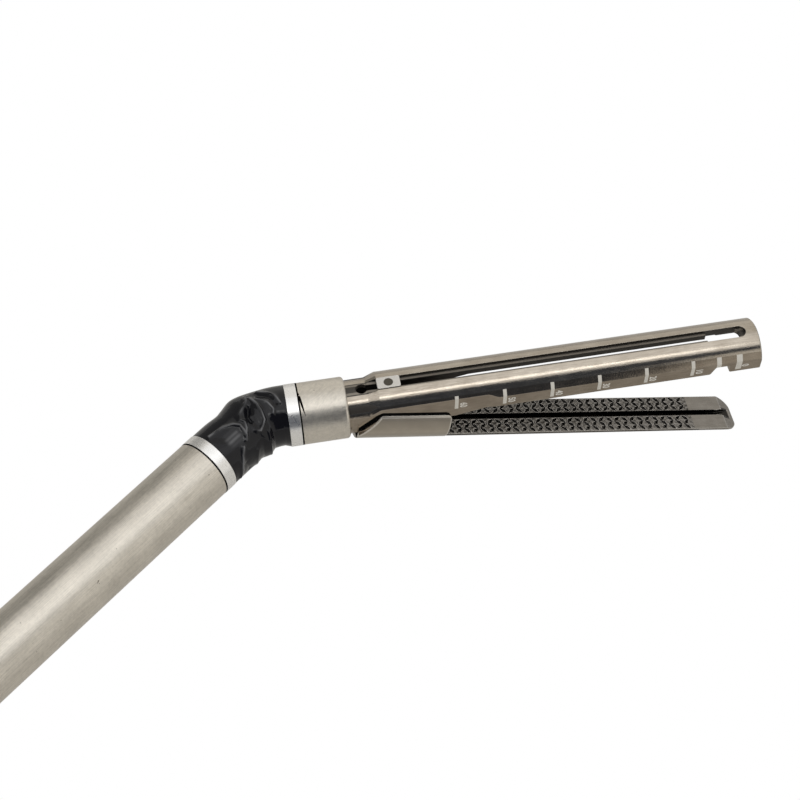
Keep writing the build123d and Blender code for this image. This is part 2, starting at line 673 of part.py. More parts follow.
# Anvil: the lower jaw, with ears on both sides of the channel
with BuildPart() as anvil:
    with BuildSketch(section(ANVIL, EAR_FROM)):
        Circle(ANVIL_RADIUS)
        with Locations((0, ANVIL_FACE - ANVIL_RADIUS)):
            Rectangle(2 * ANVIL_RADIUS, 2 * ANVIL_RADIUS, mode=Mode.INTERSECT)
    extrude(amount=ANVIL_TIP - EAR_FROM)
    with BuildSketch(section(ANVIL, EAR_FROM)):
        Circle(ANVIL_RADIUS)
        with Locations((0, SILL_TOP + BEYOND)):
            Rectangle(2 * EAR_INNER, 2 * BEYOND, mode=Mode.SUBTRACT)
        with Locations((0, ANVIL_FACE + BEYOND)):
            Rectangle(2 * CAVITY_HALF, 2 * BEYOND, mode=Mode.SUBTRACT)
    extrude(amount=EAR_TO - EAR_FROM)
    with BuildSketch(section(ANVIL, EAR_FROM)):
        with Locations((0, ANVIL_FACE + BEYOND)):
            Rectangle(2 * EAR_INNER, 2 * BEYOND)
    extrude(amount=SILL_FROM - EAR_FROM, mode=Mode.SUBTRACT)
    # Side outline: slanted ears, flat face and ramped nose
    with BuildSketch(profile(ANVIL)):
        with BuildLine():
            FilletPolyline(
                (EAR_FROM, -BEYOND),
                (EAR_FROM, EAR_SLANT_HEIGHT),
                (EAR_TOP_FROM, EAR_TOP),
                (EAR_TO, EAR_TOP),
                (EAR_TO, ANVIL_FACE),
                (ANVIL_TIP - NOSE_RAMP, ANVIL_FACE),
                (ANVIL_TIP, ANVIL_FACE - NOSE_DROP),
                (ANVIL_TIP, -BEYOND),
                radius=EAR_ROUND,
                close=True,
            )
        make_face()
    extrude(amount=BEYOND, both=True, mode=Mode.INTERSECT)
    # Round nose, seen from above
    with BuildSketch(level(ANVIL, 0)):
        with Locations(((ANVIL_TIP + EAR_TO) / 2, 0)):
            RectangleRounded(ANVIL_TIP - EAR_TO, 2 * ANVIL_HALF, NOSE_ROUND)
        with Locations((EAR_TO / 2, 0)):
            Rectangle(EAR_TO, 2 * ANVIL_RADIUS)
        with Locations((EAR_TO + NOSE_ROUND, 0)):
            Rectangle(2 * NOSE_ROUND, 2 * ANVIL_HALF)
    extrude(amount=BEYOND, both=True, mode=Mode.INTERSECT)
    # Track for the beam's shoe, open at the back where the cap closes it
    with BuildSketch(level(ANVIL, TRACK_ROOF)):
        with Locations(((TRACK_FROM + TRACK_TO) / 2, 0)):
            Rectangle(TRACK_TO - TRACK_FROM, 2 * TRACK_HALF)
    extrude(amount=-BEYOND, mode=Mode.SUBTRACT)
    # Entry where the shoe comes in, whatever the anvil's angle
    with BuildSketch(level(ANVIL, TRACK_FLOOR)):
        with Locations(((ENTRY_FROM + ENTRY_TO) / 2, 0)):
            Rectangle(ENTRY_TO - ENTRY_FROM, 2 * ENTRY_HALF)
    extrude(amount=BEYOND, mode=Mode.SUBTRACT)
    # Knife slot, which flares at the nose
    with BuildSketch(level(ANVIL, TRACK_ROOF)):
        with Locations(((ENTRY_FROM + ANVIL_SLOT_END) / 2, 0)):
            Rectangle(ANVIL_SLOT_END - ENTRY_FROM, SLOT_WIDTH)
        Polygon(
            (ANVIL_SLOT_END, SLOT_WIDTH / 2),
            (ANVIL_SLOT_END, -SLOT_WIDTH / 2),
            (ANVIL_TIP, -FLARE_WIDTH / 2),
            (ANVIL_TIP, FLARE_WIDTH / 2),
            align=None,
        )
    extrude(amount=BEYOND, mode=Mode.SUBTRACT)
    # Staple forming pockets: slanted cups that alternate along each row
    pocket_count = int((POCKETS_TO - POCKETS_FROM) / POCKET_PITCH)
    for turn in (POCKET_TURN, -POCKET_TURN):
        pocket_places = [
            (POCKETS_FROM + step * POCKET_PITCH, side * (ROW_FIRST + row * ROW_PITCH))
            for row in range(POCKET_ROWS)
            for side in (1, -1)
            for step in range(pocket_count + 1)
            if ((step + row) % 2 == 0) == (turn * side > 0)
        ]
        with BuildSketch(level(ANVIL, ANVIL_FACE)):
            with Locations(*pocket_places):
                Polygon(
                    (POCKET_LENGTH / 2, 0),
                    (0, POCKET_WIDTH / 2),
                    (-POCKET_LENGTH / 2, 0),
                    (0, -POCKET_WIDTH / 2),
                    rotation=turn,
                    align=None,
                )
        extrude(amount=-POCKET_DEPTH, mode=Mode.SUBTRACT)
    # Hinge arms that reach up into the channel's neck
    for side in (1, -1):
        with BuildSketch(profile(ANVIL, side * (ARM_NEAR + ARM_WIDTH / 2))):
            with Locations((HINGE_AT, HINGE_HEIGHT)):
                Circle(ARM_END_RADIUS)
            with BuildLine():
                Polyline(
                    (ARM_FOOT_FROM, ANVIL_FACE),
                    (ARM_FOOT_TO, ANVIL_FACE),
                    (HINGE_AT + ARM_END_RADIUS, HINGE_HEIGHT),
                    (HINGE_AT - ARM_END_RADIUS, HINGE_HEIGHT),
                    close=True,
                )
            make_face()
            with Locations((HINGE_AT, HINGE_HEIGHT)):
                Circle(HINGE_RADIUS + FIT, mode=Mode.SUBTRACT)
        extrude(amount=ARM_WIDTH / 2, both=True)
finish(anvil, "anvil")

# Cap that closes the track along the anvil's back
with BuildPart() as cap:
    with BuildSketch(section(ANVIL, TRACK_FROM + FIT)):
        Circle(ANVIL_RADIUS)
        with Locations((0, TRACK_FLOOR - ANVIL_RADIUS)):
            Rectangle(2 * (TRACK_HALF - FIT), 2 * ANVIL_RADIUS, mode=Mode.INTERSECT)
    extrude(amount=TRACK_TO - TRACK_FROM - 2 * FIT)
finish(cap, "anvil_cap")

# Hinge pins of the anvil, one in each arm, which turn in the neck's walls
with BuildPart() as hinge_pins:
    pin_length = NECK_RADIUS - FIT - ARM_NEAR - HINGE_RADIUS ** 2 / NECK_RADIUS
    for inner_face, outward in ((-ARM_NEAR, 1), (ARM_NEAR, -1)):
        with BuildSketch(profile(JAW, inner_face)):
            with Locations((HINGE_AT, HINGE_HEIGHT)):
                Circle(HINGE_RADIUS)
        extrude(amount=outward * pin_length)
finish(hinge_pins, "anvil_hinge_pins")

# Leaf springs that push the anvil open
with BuildPart() as springs:
    spring_tip = ANVIL.from_local_coords((SPRING_TIP_AT, 0, ANVIL_FACE + SPRING_REST))
    tip_local = JAW.to_local_coords(spring_tip)
    for side in (1, -1):
        with BuildSketch(profile(JAW, side * SPRING_SIDE)):
            Polygon(
                (SPRING_REAR, SPRING_HEIGHT),
                (SPRING_BEND_AT, SPRING_HEIGHT),
                (tip_local.X, tip_local.Z),
                (tip_local.X, tip_local.Z + SPRING_THICKNESS),
                (SPRING_BEND_AT + SPRING_THICKNESS / 2, SPRING_HEIGHT + SPRING_THICKNESS),
                (SPRING_REAR, SPRING_HEIGHT + SPRING_THICKNESS),
                align=None,
            )
        extrude(amount=SPRING_WIDTH / 2, both=True)
finish(springs, "anvil_springs")
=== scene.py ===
# %% [markdown]
# # A jointed stapler end, dressed for its portrait
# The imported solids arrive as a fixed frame: a brushed tube, a wrist under a black film, a short collar and
# two jaws. They are already the right shape, so this lesson spends its time on finishes, light and the few
# things that no solid shows: the wrinkled film, the etched scale and its numbers.

# %% Load the frame
import bpy
import numpy as np
from math import cos, pi, radians, sin, tan
from mathutils import Matrix, Vector


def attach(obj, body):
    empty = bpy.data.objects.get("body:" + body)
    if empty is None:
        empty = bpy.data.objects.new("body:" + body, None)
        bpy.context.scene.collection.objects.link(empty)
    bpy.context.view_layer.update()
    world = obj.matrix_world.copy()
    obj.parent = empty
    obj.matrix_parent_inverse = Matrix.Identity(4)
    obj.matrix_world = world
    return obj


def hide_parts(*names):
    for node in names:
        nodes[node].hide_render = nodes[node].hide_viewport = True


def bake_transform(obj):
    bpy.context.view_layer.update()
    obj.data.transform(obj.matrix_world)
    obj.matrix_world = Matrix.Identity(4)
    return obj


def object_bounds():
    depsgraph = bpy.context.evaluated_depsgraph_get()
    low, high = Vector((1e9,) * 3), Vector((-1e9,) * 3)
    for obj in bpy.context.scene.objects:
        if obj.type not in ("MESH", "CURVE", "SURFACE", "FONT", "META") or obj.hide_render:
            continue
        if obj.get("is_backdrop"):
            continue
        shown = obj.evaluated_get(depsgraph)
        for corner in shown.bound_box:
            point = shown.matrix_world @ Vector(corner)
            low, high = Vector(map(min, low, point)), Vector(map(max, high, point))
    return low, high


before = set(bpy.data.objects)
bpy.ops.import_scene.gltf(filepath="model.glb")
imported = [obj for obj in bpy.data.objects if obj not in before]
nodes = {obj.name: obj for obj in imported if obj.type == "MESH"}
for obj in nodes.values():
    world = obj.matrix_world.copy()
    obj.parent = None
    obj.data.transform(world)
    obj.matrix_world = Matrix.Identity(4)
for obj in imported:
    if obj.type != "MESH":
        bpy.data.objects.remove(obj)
cad_box = [list(corner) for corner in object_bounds()]
MM = 0.001
print("nodes", len(nodes), "box", cad_box)

# %% [markdown]
# ## Where the jaws point
# The wrist hinge stands upright and the jaws are turned aside at it. Measuring along the jaws from the
# front face of the collar makes every later place easy to read, so one small matrix turns "station, side,
# height" in millimetres into the frame's metres.

# %% The jaw's own measure
WRIST_AT = 104.0
JAW_TURN = radians(-40.0)
COLLAR_FRONT = 18.49
COLLAR_BACK = COLLAR_FRONT - 9.97
HINGE_STATION = -0.7
JAW_OPENING = radians(12.4)
jaw_turn = Matrix.Rotation(JAW_TURN, 4, "Z")
to_jaw = Matrix.Translation(Vector((WRIST_AT * MM, 0, 0))) @ jaw_turn
to_jaw = to_jaw @ Matrix.Translation(Vector((COLLAR_FRONT * MM, 0, 0))) @ Matrix.Scale(MM, 4)
print("collar front", [round(x, 4) for x in to_jaw @ Vector((0, 0, 0))])

# %% [markdown]
# ## Camera
# The picture is taken from about 54 degrees above the bench, close enough for a little perspective. The
# tilt, the slight yaw and the roll are three turns on top of the jaw's own turn.

# %% Camera
CAMERA_TILT = 36.0
CAMERA_YAW = -5.97
CAMERA_ROLL = -8.38
CAMERA_FROM_COLLAR = Vector((11.03, 1.44, 300))
CAMERA_REACH = 1455 / 800
SENSOR = 36
bpy.ops.object.select_all(action="DESELECT")
bpy.ops.object.camera_add()
camera = bpy.context.object
turn = jaw_turn.to_3x3() @ Matrix.Rotation(radians(CAMERA_TILT), 3, "X")
turn = turn @ Matrix.Rotation(radians(CAMERA_YAW), 3, "Y") @ Matrix.Rotation(radians(CAMERA_ROLL), 3, "Z")
camera_at = to_jaw @ Vector((0, 0, 0)) + turn @ CAMERA_FROM_COLLAR * MM
camera.matrix_world = Matrix.Translation(camera_at) @ turn.to_4x4()
camera.data.sensor_width = SENSOR
camera.data.lens = SENSOR * CAMERA_REACH
camera.data.clip_start = 0.01
camera.data.dof.use_dof = False
bpy.context.scene.camera = camera
bpy.context.scene.view_settings.view_transform = "Standard"
print("camera at", [round(x, 3) for x in camera.location])

# %% [markdown]
# ## A shorthand for shader maths
# Node trees are quicker to read as arithmetic. One class wraps a socket and turns operators into Math
# nodes, and one method makes every other node: its type, its settings, then what goes into its sockets.

# %% Shader shorthand: sockets
class Signal:
    """A shader socket that can be added, multiplied and compared."""

    def __init__(self, finish, socket):
        self.finish = finish
        self.socket = socket

    def math(self, operation, first, second=0.0):
        return self.finish.node("ShaderNodeMath", {"operation": operation}, {0: first, 1: second})

    def __add__(self, other):
        return self.math("ADD", self, other)

    def __sub__(self, other):
        return self.math("SUBTRACT", self, other)

    def __rsub__(self, other):
        return self.math("SUBTRACT", other, self)

    def __mul__(self, other):
        return self.math("MULTIPLY", self, other)

    def __rmul__(self, other):
        return self.math("MULTIPLY", other, self)

    def __truediv__(self, other):
        return self.math("DIVIDE", self, other)

    def __gt__(self, other):
        return self.math("GREATER_THAN", self, other)

    def __lt__(self, other):
        return self.math("LESS_THAN", self, other)

    def __pow__(self, other):
        return self.math("POWER", self, other)

    def __abs__(self):
        return self.math("ABSOLUTE", self)

    def __round__(self):
        return self.math("ROUND", self)

    def larger(self, other):
        return self.math("MAXIMUM", self, other)

    def smaller(self, other):
        return self.math("MINIMUM", self, other)

    def zigzag(self, step):
        return self.math("PINGPONG", self, step)


print("class", Signal.__name__)

# %% Shader shorthand: nodes
class Finish:
    """The nodes of a new material, or of the world, with the main shader ready."""

    def __init__(self, name, world=None, **sockets):
        self.material = world or bpy.data.materials.new(name)
        self.material.use_nodes = True
        self.nodes = self.material.node_tree.nodes
        self.links = self.material.node_tree.links
        self.shader = self.nodes["Background" if world else "Principled BSDF"]
        self.set(**sockets)

    def node(self, kind, settings, inputs, output=0):
        made = self.nodes.new(kind)
        for name, value in settings.items():
            if name == "stops":
                while len(made.color_ramp.elements) < len(value):
                    made.color_ramp.elements.new(1)
                for stop, (place, colour) in zip(made.color_ramp.elements, value):
                    stop.position = place
                    stop.color = colour
            else:
                setattr(made, name, value)
        for name, value in inputs.items():
            self.feed(made.inputs[name], value)
        return Signal(self, made.outputs[output])

    def feed(self, socket, value):
        if isinstance(value, Signal):
            self.links.new(value.socket, socket)
        else:
            socket.default_value = value

    def set(self, **sockets):
        for name, value in sockets.items():
            self.feed(self.shader.inputs[name.replace("_", " ")], value)

    def place(self, matrix=None, stretch=(1, 1, 1)):
        """Object coordinates, turned into another measure and stretched."""
        spot = self.node("ShaderNodeTexCoord", {}, {}, "Object")
        turned = (matrix or Matrix.Identity(4)).inverted()
        move, turning, size = turned.decompose()
        spot = self.node("ShaderNodeMapping", {}, {"Vector": spot, "Location": move,
                         "Rotation": turning.to_euler(), "Scale": size})
        return self.node("ShaderNodeVectorMath", {"operation": "MULTIPLY"}, {0: spot, 1: stretch})

    def noise(self, where, scale, detail=2.0, roughness=0.5):
        return self.node("ShaderNodeTexNoise", {}, {"Vector": where, "Scale": scale, "Detail": detail,
                                                    "Roughness": roughness})

    def span(self, value, low, high, to_low=0.0, to_high=1.0):
        return self.node("ShaderNodeMapRange", {"clamp": True},
                         {"Value": value, "From Min": low, "From Max": high,
                          "To Min": to_low, "To Max": to_high})

    def tint(self, factor, first, second, mode="MIX"):
        return self.node("ShaderNodeMix", {"data_type": "RGBA", "blend_type": mode},
                         {0: factor, 6: first, 7: second}, 2)

    def bump(self, height, strength, distance, normal=None):
        inputs = {"Height": height, "Strength": strength, "Distance": distance}
        if normal:
            inputs["Normal"] = normal
        return self.node("ShaderNodeBump", {}, inputs)


print("class", Finish.__name__)

# %% [markdown]
# ## Light and background
# The part floats on white. To the camera, and to rays that bounce off metal, the world is plain white;
# everything else gets a softer ambient. Metal needs something dark to reflect, so a dark card stands on
# the viewer's side below the lens, a lighter one beside it and two more behind, as a product photographer
# would set them. A pale floor, which the camera doesn't see, throws light up from below.

# %% World
AMBIENT = 0.7
world = bpy.data.worlds.new("white_room")
bpy.context.scene.world = world
sky = Finish("white_room", world, Color=(1, 1, 1, 1))
camera_ray, glossy_ray, clear_ray = (sky.node("ShaderNodeLightPath", {}, {}, f"Is {kind} Ray")
                                     for kind in ("Camera", "Glossy", "Transmission"))
sky.set(Strength=sky.span(camera_ray + glossy_ray + clear_ray, 0, 1, AMBIENT, 1.0))
print("world", world.name)

# %% Cards and lamps
CARDS_FACE = 20
LAMPS_FACE = 10
# Elevation, distance, width, height, glow and spread of each card
CARDS = {
    "dark_card": (31, 0.8, 1.4, 0.89, (0.06, 0.068, 0.085, 1), -5),
    "middle_card": (21, 0.82, 1.0, 0.6, (0.76, 0.74, 0.7, 1), 45),
    "pale_card": (150, 0.9, 1.3, 1.1, (0.78, 0.76, 0.72, 1), -20),
    "dim_card": (150, 0.92, 1.2, 1.1, (0.3, 0.295, 0.28, 1), 45),
}
# Elevation, distance, width, height and watts of each lamp
LAMPS = {"overhead": (80, 0.7, 1.2, 0.4, 0.3), "glint": (70, 0.55, 0.5, 0.05, 0.16)}


def facing(station, elevation, distance, spread=0.0):
    """A place at an elevation on the viewer's side, turned to face a station of the jaws."""
    return (Matrix.Translation(to_jaw @ Vector((station, 0, 0))) @ jaw_turn
            @ Matrix.Rotation(radians(spread), 4, "Z") @ Matrix.Rotation(radians(90 - elevation), 4, "X")
            @ Matrix.Translation(Vector((0, 0, distance))))


def card(name, elevation, distance, wide, tall, glow, spread):
    """A flat glowing card that only metal sees."""
    bpy.ops.object.select_all(action="DESELECT")
    bpy.ops.mesh.primitive_plane_add(size=1)
    plane = bpy.context.object
    plane.name = name
    place = facing(CARDS_FACE, elevation, distance, spread)
    plane.matrix_world = place @ Matrix.Diagonal((wide, tall, 1, 1))
    surface = Finish(name, Base_Color=(0, 0, 0, 1), Roughness=1.0, Specular_IOR_Level=0.0,
                     Emission_Color=glow, Emission_Strength=1.0)
    plane.data.materials.append(surface.material)
    plane.visible_camera = False
    plane.visible_shadow = False
    plane.visible_diffuse = False
    plane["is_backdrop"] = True


def lamp(name, elevation, distance, wide, tall, watts):
    """A soft rectangular lamp."""
    bpy.ops.object.select_all(action="DESELECT")
    bpy.ops.object.light_add(type="AREA")
    made = bpy.context.object
    made.name = name
    made.data.shape = "RECTANGLE"
    made.data.size = wide
    made.data.size_y = tall
    made.data.energy = watts
    made.matrix_world = facing(LAMPS_FACE, elevation, distance)


for name, looks in CARDS.items():
    card(name, *looks)
for name, looks in LAMPS.items():
    lamp(name, *looks)
print("cards", list(CARDS), "lamps", list(LAMPS))

# %% Floor
FLOOR_DROP = 0.05
FLOOR_Z = cad_box[0][2] - FLOOR_DROP
bpy.ops.object.select_all(action="DESELECT")
bpy.ops.mesh.primitive_plane_add(size=6, location=(0.1, 0, FLOOR_Z))
floor = bpy.context.object
floor.name = "floor"
floor.data.materials.append(Finish("white_sheet", Roughness=0.9, Base_Color=(0.72, 0.7, 0.66, 1)).material)
floor.visible_camera = False
floor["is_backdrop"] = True
print("floor at", round(FLOOR_Z, 3))

# %% [markdown]
# ## Finishes
# Every slot of the part gets its own finish. Stainless steel is never one flat grey: the tube is brushed
# along its length, the bands are bright turned rings, the jaws are a darker polished steel, and all edges
# are a little rounded, which a Bevel node gives without touching the solids.

# %% Steel helpers
STAIN = (0.12, 0.1, 0.08, 1)
EDGE_FROM, EDGE_TO = 0.995, 0.93


def soften(finish, radius):
    """A shading normal rounded over sharp edges, and a mask that is 1 on them."""
    soft = finish.node("ShaderNodeBevel", {"samples": 6}, {"Radius": radius * MM})
    sharp = finish.node("ShaderNodeNewGeometry", {}, {}, "Normal")
    agree = finish.node("ShaderNodeVectorMath", {"operation": "DOT_PRODUCT"}, {0: soft, 1: sharp}, "Value")
    return soft, finish.span(agree, EDGE_FROM, EDGE_TO)


def steel(name, colour, rough, grain, grain_scale, where, edge=0.1, marks=0.12, fine=0.02, specks=0.0):
    """A brushed or polished steel whose grain runs along the direction that is stretched least."""
    finish = Finish(name, Metallic=1.0)
    normal, wear_and_edge_highlight = soften(finish, edge)
    spot = finish.place(where)
    lines = finish.noise(finish.place(where, grain), grain_scale, 4.0, 0.65)
    cloud = finish.noise(spot, 0.16, 3.0)
    mottle = finish.noise(spot, 1.3, 3.0, 0.7)
    dark = [c * (1 - marks) for c in colour[:3]] + [1]
    bright = [min(1, c * 1.15) for c in colour[:3]] + [1]
    uneven = lines * 0.5 + cloud * 0.2 + mottle * 0.3
    shade = finish.tint(finish.span(uneven, 0.34, 0.64), dark, colour)
    # Edges painted lighter: partly wear, partly painted highlight.
    shade = finish.tint(wear_and_edge_highlight * 0.6, shade, bright)
    stained = finish.span(finish.noise(spot, 0.9, 2.0), 0.735, 0.765, 0, specks)
    finish.set(Base_Color=finish.tint(stained, shade, STAIN),
               Roughness=finish.span(uneven, 0.25, 0.75, rough * 0.75, rough * 1.3),
               Normal=finish.bump(lines * 0.7 + mottle * 0.3, fine, 0.0002, normal))
    return finish


print("helpers", soften.__name__, steel.__name__)

# %% Steels
tube_measure = Matrix.Scale(MM, 4)
# Colour, roughness, stretch and scale of the grain, measure, rounding of edges; then marks, fine and specks
STEELS = {
    "brushed_steel": ((0.77, 0.72, 0.635, 1), 0.36, (0.12, 5, 5), 1.2, tube_measure, 0.15, 0.36, 0.2, 0.8),
    "bright_band": ((0.93, 0.92, 0.9, 1), 0.28, (1, 1, 1), 3.0, tube_measure, 0.1),
    "bright_steel": ((0.72, 0.7, 0.67, 1), 0.3, (1, 3, 3), 1.0, to_jaw, 0.08),
    "rivet_steel": ((0.1, 0.09, 0.075, 1), 0.35, (1, 1, 1), 2.0, to_jaw, 0.08),
    "inner_steel": ((0.4, 0.39, 0.37, 1), 0.35, (1, 3, 3), 1.0, to_jaw, 0.08),
    "spring_steel": ((0.55, 0.54, 0.53, 1), 0.25, (1, 3, 3), 1.0, to_jaw, 0.03),
}
finishes = {name: steel(name, *looks) for name, looks in STEELS.items()}
print("steels", sorted(finishes))

# %% [markdown]
# ## The channel's steel and its etched scale
# The upper jaw is a polished, slightly brown steel, and its flat sides are painted darker as painted shade.
# Inside, in the groove and the cartridge space, it is rougher and painted dark as painted shade, with a
# painted lighter strip on the ledges beside the slot. Its side carries a scale: pale bars every ten
# millimetres, etched into the metal. An etched bar has no thickness worth modelling, so the finish draws it
# where the jaw's own measure says.

# %% Measures of the channel
SCALE_FROM = 22.1
SCALE_STEP = 10.0
SCALE_STEPS = 6
SCALE_HALF = 0.38
SCALE_TOP_SLOPE = 0.885
SCALE_LOW = 0.75
ZERO_WIDER = 0.25
EXTRA_BAR_AT = 77.7
EXTRA_BAR_HALF = 0.5
SIDE_FROM = 4.6
FLAT_TOP = 4.6
CAVITY_HALF = 4.47
CAVITY_ROOF = 4.42
GROOVE_HALF = 1.5
SKIN_RADIUS = 6.3
RIDGE_FROM, RIDGE_TO = 0.75, 1.25
ETCHED = ((0.56, 0.53, 0.47, 1), (0.76, 0.73, 0.66, 1))
print("scale bars", SCALE_STEPS + 1, "and a wide one at station", EXTRA_BAR_AT)

# %% Places on the channel
channel = Finish("channel_steel")
soft, wear_and_edge_highlight = soften(channel, 0.12)
spot = channel.place(to_jaw)
station, side, height = (channel.node("ShaderNodeSeparateXYZ", {}, {0: spot}, axis) for axis in range(3))
off_middle = abs(side)
from_axis = (side * side + height * height) ** 0.5
in_cavity = (off_middle < CAVITY_HALF) * (height < CAVITY_ROOF)
hollow = in_cavity.larger((off_middle < GROOVE_HALF) * (from_axis < SKIN_RADIUS))
nearest = channel.span(round((station - SCALE_FROM) / SCALE_STEP), 0, SCALE_STEPS, 0, SCALE_STEPS)
from_bar = abs(station - SCALE_FROM - nearest * SCALE_STEP)
zero_bar = (nearest > SCALE_STEPS - 0.5) * ZERO_WIDER
on_bar = (from_bar - zero_bar < SCALE_HALF).larger(abs(station - EXTRA_BAR_AT) < EXTRA_BAR_HALF)
on_side = off_middle > SIDE_FROM
etched = on_bar * (off_middle - height * SCALE_TOP_SLOPE > 0) * (height > SCALE_LOW) * on_side
print("nodes so far", len(channel.nodes))

# %% Channel steel
streak = channel.noise(channel.place(to_jaw, (0.3, 5, 5)), 1.0, 3.0, 0.6)
patch = channel.noise(spot, 0.22, 4.0, 0.6)
metal = channel.tint(channel.span(streak * 0.5 + patch * 0.5, 0.32, 0.68), (0.34, 0.295, 0.24, 1),
                     (0.55, 0.495, 0.42, 1))
# Painted shade: the channel's flat sides are darkened.
painted_shade_flat = channel.tint(1.0, metal, (0.66, 0.63, 0.6, 1), "MULTIPLY")
metal = channel.tint(on_side * (height < FLAT_TOP), metal, painted_shade_flat)
# Edges painted lighter: partly wear, partly painted highlight.
metal = channel.tint(wear_and_edge_highlight * 0.5, metal, (0.66, 0.62, 0.57, 1))
# Painted shade: the groove and cartridge space are darkened, with a painted lighter strip on the ledges
# beside the slot.
ridge = (off_middle > RIDGE_FROM) * (off_middle < RIDGE_TO) * (height > CAVITY_ROOF)
painted_hollow_shade = channel.tint(ridge, (0.085, 0.078, 0.07, 1), (0.26, 0.235, 0.2, 1))
metal = channel.tint(hollow, metal, painted_hollow_shade)
pale = channel.tint(channel.noise(spot, 9.0, 2.0), *ETCHED)
polish = channel.span(patch * 0.6 + streak * 0.4, 0.3, 0.7, 0.09, 0.17)
grain = streak * 0.5 + channel.noise(spot, 4.0, 2.0) * 0.5
channel.set(Base_Color=channel.tint(etched, metal, pale), Metallic=1 - etched * 0.9,
            Roughness=polish.larger(etched * 0.55).larger(hollow * 0.5),
            Normal=channel.bump(grain, 0.07, 0.0002, soft))
finishes["channel_steel"] = channel
print("channel steel", len(channel.nodes), "nodes")

# %% [markdown]
# ## The anvil's steel
# The lower jaw is darker, and its field of cups is painted darker still as painted shade. Each cup forms one
# staple leg, and its coined walls slope, so a little bump around the cups catches the light the way pressed
# facets do.

# %% Measures of the anvil
to_anvil = to_jaw @ Matrix.Translation(Vector((HINGE_STATION, 0, 0))) @ Matrix.Rotation(JAW_OPENING, 4, "Y")
to_anvil = to_anvil @ Matrix.Translation(Vector((-HINGE_STATION, 0, 0)))
ANVIL_FACE = -3.9
ANVIL_FRONT_OF_EARS = 21.0
SUNK_FROM, SUNK_TO = 21.2, 80.5
SUNK_HIGH, SUNK_LOW = ANVIL_FACE - 0.08, ANVIL_FACE - 0.45
FIELD_FROM, FIELD_TO = 21.6, 79.6
FIELD_NEAR, FIELD_FAR = 0.75, 4.35
FIELD_HIGH, FIELD_LOW = ANVIL_FACE + 0.1, ANVIL_FACE - 0.5
POCKET_PITCH = 1.835
ROW_PITCH = 1.12
WHOLE_TURNS = 40
TRACK_HALF = 0.72
TRACK_SHOWN = 86.0
FLARE_HALF = 1.4
FLARE_SHOWN = 89.5
FLARE_HIGH = ANVIL_FACE - 0.12
EAR_FRONT = 20.95
EAR_SIDE_FROM, EAR_SIDE_TO = 4.3, 5.1
EAR_HIGH, EAR_LOW = 3.3, -5.2
EAR_RIM_TOP = 3.32
EAR_RIM_FRONT = 20.85
EAR_RIM = 0.12
EAR_SLANT_FROM = 2.0, -1.4
EAR_SLANT_NORMAL = 0.788, 0.616
EAR_SLANT_IN = 0.3
EAR_SHADE = ((0.0, (0.55, 0.55, 0.55, 1)), (0.12, (0.75, 0.74, 0.72, 1)), (0.42, (1, 0.98, 0.94, 1)),
             (0.72, (0.72, 0.7, 0.66, 1)), (1.0, (0.6, 0.58, 0.54, 1)))
print("anvil cups from station", FIELD_FROM, "to", FIELD_TO)

# %% Places on the anvil
anvil = Finish("anvil_steel", Metallic=1.0)
spot = anvil.place(to_anvil)
station, side, height = (anvil.node("ShaderNodeSeparateXYZ", {}, {0: spot}, axis) for axis in range(3))
off_middle = abs(side)
sunk = (station > SUNK_FROM) * (station < SUNK_TO)
sunk = sunk * (height < SUNK_HIGH) * (height > SUNK_LOW)
field = (station > FIELD_FROM) * (station < FIELD_TO) * (off_middle > FIELD_NEAR) * (off_middle < FIELD_FAR)
field = field * (height < FIELD_HIGH) * (height > FIELD_LOW)
leaning = [(station / POCKET_PITCH + way * off_middle / ROW_PITCH + WHOLE_TURNS).zigzag(0.5)
           for way in (1, -1)]
facets = leaning[0].smaller(leaning[1]) * field
on_ear = (station < EAR_FRONT) * anvil.span(off_middle, EAR_SIDE_FROM, EAR_SIDE_TO)
from_slant = ((station - EAR_SLANT_FROM[0]) * EAR_SLANT_NORMAL[0]
              - (height - EAR_SLANT_FROM[1]) * EAR_SLANT_NORMAL[1] - EAR_SLANT_IN)
from_rim = (EAR_RIM_TOP - height).smaller(from_slant).smaller(EAR_RIM_FRONT - station)
track = (off_middle < TRACK_HALF) * (station > ANVIL_FRONT_OF_EARS) * (station < TRACK_SHOWN)
flare = (off_middle < FLARE_HALF) * (station > TRACK_SHOWN) * (station < FLARE_SHOWN)
flare = flare * (height < FLARE_HIGH) * 0.9
print("nodes so far", len(anvil.nodes))

# %% Anvil steel
soft, wear_and_edge_highlight = soften(anvil, 0.2)
streak = anvil.noise(anvil.place(to_anvil, (0.3, 4, 4)), 1.0, 3.0, 0.6)
patch = anvil.noise(spot, 0.3, 4.0, 0.6)
metal = anvil.tint(anvil.span(streak * 0.5 + patch * 0.5, 0.32, 0.68), (0.2, 0.185, 0.165, 1),
                   (0.3, 0.28, 0.255, 1))
# Painted shade: the field of cups is darkened.
metal = anvil.tint(field * 0.5, metal, (0.12, 0.112, 0.1, 1))
# Edges painted lighter: partly wear, partly painted highlight.
metal = anvil.tint(wear_and_edge_highlight * 0.8, metal, (0.62, 0.59, 0.55, 1))
# Painted light and shade on the ear: a lighter base, darker under the rim, lightest part way down, darker
# near the bottom.
down_ear = anvil.span(height, EAR_HIGH, EAR_LOW)
down_ear = anvil.node("ShaderNodeValToRGB", {"stops": EAR_SHADE}, {0: down_ear})
lit_ear_metal = anvil.tint(patch, (0.36, 0.325, 0.28, 1), (0.5, 0.46, 0.4, 1))
metal = anvil.tint(on_ear, metal, anvil.tint(1.0, lit_ear_metal, down_ear, "MULTIPLY"))
